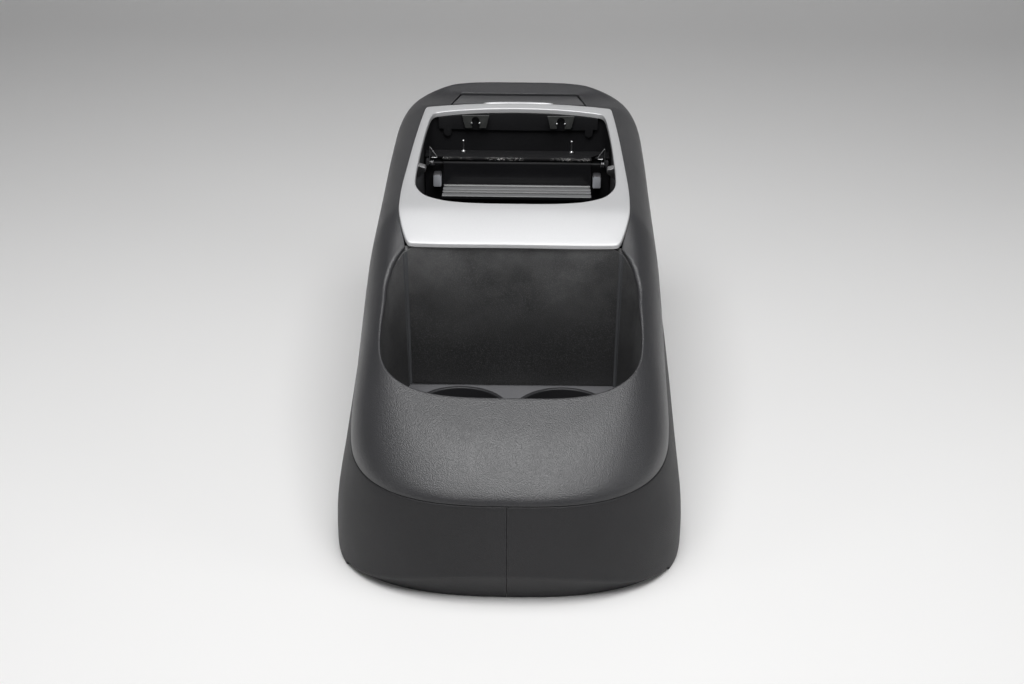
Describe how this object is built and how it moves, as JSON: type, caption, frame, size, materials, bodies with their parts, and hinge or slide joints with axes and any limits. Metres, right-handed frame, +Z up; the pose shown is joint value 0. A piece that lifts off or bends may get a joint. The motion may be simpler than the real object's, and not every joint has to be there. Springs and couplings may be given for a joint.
{
  "type": "center console",
  "caption": "Floor-standing car center console with an open bin and cup holders, a silver trim frame round a storage well, a flap in the well and a small rear lid over a pocket.",
  "frame": {"origin": "on the ground under the middle of the console's length, on its plane of symmetry", "axes": "+Z up, the nose with the bin towards -Y, the rear lid towards +Y, +X to the right-hand side as seen from behind the nose looking to +Y"},
  "size_m": [0.268, 0.524, 0.2421],
  "materials": {
    "bright_steel": "bright drawn wire and turned steel",
    "gloss_black_plastic": "semi-gloss black",
    "grained_panel_plastic": "fine leather grain, matt dark charcoal",
    "grained_plastic": "fine leather grain, matt charcoal",
    "grey_nylon": "light grey, smooth",
    "inner_plastic": "unpainted black, lightly textured",
    "rubber": "matt black",
    "satin_grey_paint": "satin grey paint on a moulding",
    "satin_silver_paint": "satin silver paint on a moulding",
    "tab_plastic": "dark grey, smooth",
    "tray_plastic": "smooth matt charcoal",
    "zinc_plated_steel": "dull zinc plate"
  },
  "bodies": {
    "base": {"bin_bracket": "zinc_plated_steel", "bin_bracket_screw_left": "bright_steel", "bin_bracket_screw_right": "bright_steel", "clip_carrier": "inner_plastic", "clip_tab_left": "tab_plastic", "clip_tab_right": "tab_plastic", "cup_insert_left": "tray_plastic", "cup_insert_right": "tray_plastic", "cup_mat_left": "rubber", "cup_mat_right": "rubber", "cup_tray": "tray_plastic", "flap_guide_left": "grey_nylon", "flap_guide_right": "grey_nylon", "flap_lug_left": "inner_plastic", "flap_lug_right": "inner_plastic", "flap_pin": "bright_steel", "flap_spring_left": "bright_steel", "flap_spring_right": "bright_steel", "floor_plate": "zinc_plated_steel", "lid_hinge_block_left": "inner_plastic", "lid_hinge_block_right": "inner_plastic", "lid_pin": "bright_steel", "lid_pocket": "inner_plastic", "rear_panel": "grained_panel_plastic", "side_clip_left": "bright_steel", "side_clip_right": "bright_steel", "side_panel_left": "grained_panel_plastic", "side_panel_right": "grained_panel_plastic", "storage_bin": "grained_plastic", "storage_well": "inner_plastic", "stud_left": "bright_steel", "stud_right": "bright_steel", "trim_frame": "satin_silver_paint", "upper_shell": "grained_plastic", "well_bracket_front": "zinc_plated_steel", "well_bracket_front_screw_left": "bright_steel", "well_bracket_front_screw_right": "bright_steel", "well_bracket_rear": "zinc_plated_steel", "well_bracket_rear_screw_left": "bright_steel", "well_bracket_rear_screw_right": "bright_steel", "well_bulkhead": "inner_plastic", "well_deck": "inner_plastic"},
    "lid": {"rear_lid": "satin_grey_paint"},
    "flap": {"well_flap": "gloss_black_plastic"}
  },
  "joints": [
    {"name": "lid_hinge", "type": "hinge", "parent": "base", "child": "lid", "pos_m": [0, 0.2326, 0.22917], "axis": [-1, 0, 0], "range_deg": [0, 60]},
    {"name": "flap_hinge", "type": "hinge", "parent": "base", "child": "flap", "pos_m": [0, 0.134, 0.20024], "axis": [-1, 0, 0], "range_deg": [0, 70], "stiffness_Nm_per_rad": 0.02, "springref_deg": -20.05}
  ]
}
